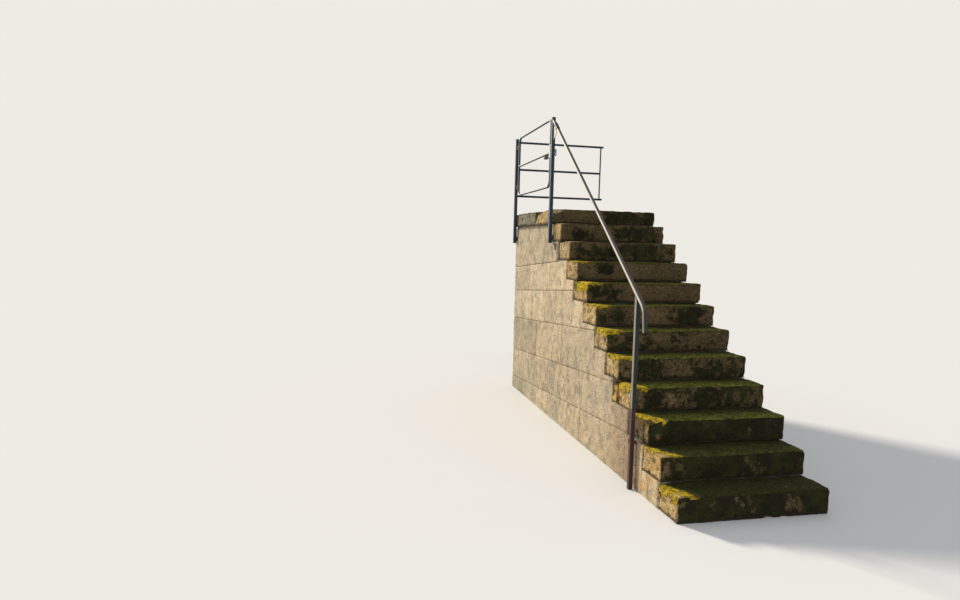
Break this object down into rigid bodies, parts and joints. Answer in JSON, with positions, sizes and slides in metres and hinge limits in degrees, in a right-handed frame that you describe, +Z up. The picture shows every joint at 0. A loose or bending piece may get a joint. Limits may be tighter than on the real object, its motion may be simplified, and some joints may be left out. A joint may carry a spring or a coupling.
{
  "type": "external stone barn stair",
  "caption": "Solid flight of worn stone blocks rising beside a wall to a slab landing, with steel posts, one handrail, an end guard and a tube gate.",
  "frame": {"origin": "middle of the footprint, at ground level", "axes": "+Z up; +Y up the flight, from the bottom step towards the landing; +X towards the building the flight stands against"},
  "size_m": [1.258, 4.44, 3.2925],
  "materials": {
    "block_stone": "rough sandstone with moss and dark lichen",
    "slab_stone": "rough sandstone, lichened",
    "wall_stone": "dressed sandstone, weathered",
    "core_stone": "rubble and mortar",
    "painted_steel": "old dark blue-grey paint",
    "rusty_steel": "rusting paint",
    "worn_steel": "worn pale grey paint"
  },
  "bodies": {
    "stair": {"step_01": "block_stone", "step_02": "block_stone", "step_03": "block_stone", "step_04": "block_stone", "step_05": "block_stone", "step_06": "block_stone", "step_07": "block_stone", "step_08": "block_stone", "step_09": "block_stone", "step_10": "block_stone", "step_11": "block_stone", "landing_slab_front": "slab_stone", "landing_slab_middle": "slab_stone", "landing_slab_far": "slab_stone", "side_wall": "wall_stone", "end_wall": "wall_stone", "wall_core": "core_stone", "head_post": "painted_steel", "far_post": "painted_steel", "foot_post": "rusty_steel", "head_post_packer": "rusty_steel", "far_post_packer": "rusty_steel", "foot_post_strap": "rusty_steel", "handrail": "worn_steel", "handrail_sleeve": "painted_steel", "gusset_plate": "worn_steel", "guard_top_rail": "painted_steel", "guard_middle_rail": "painted_steel", "guard_bottom_rail": "painted_steel", "guard_end_bar": "worn_steel", "hinge_pin_upper": "rusty_steel", "hinge_pin_lower": "rusty_steel", "latch_keeper": "painted_steel", "chain_loops": "rusty_steel"},
    "gate": {"gate_frame": "worn_steel", "gate_middle_bar": "worn_steel", "gate_eye_upper": "rusty_steel", "gate_eye_lower": "rusty_steel", "latch_plate": "worn_steel", "latch_case": "painted_steel", "latch_bolt": "rusty_steel"}
  },
  "joints": [
    {"name": "gate_hinge", "type": "hinge", "parent": "stair", "child": "gate", "pos_m": [-0.607, 2.107, 2.655], "axis": [0, 0, -1], "range_deg": [0, 100]}
  ]
}
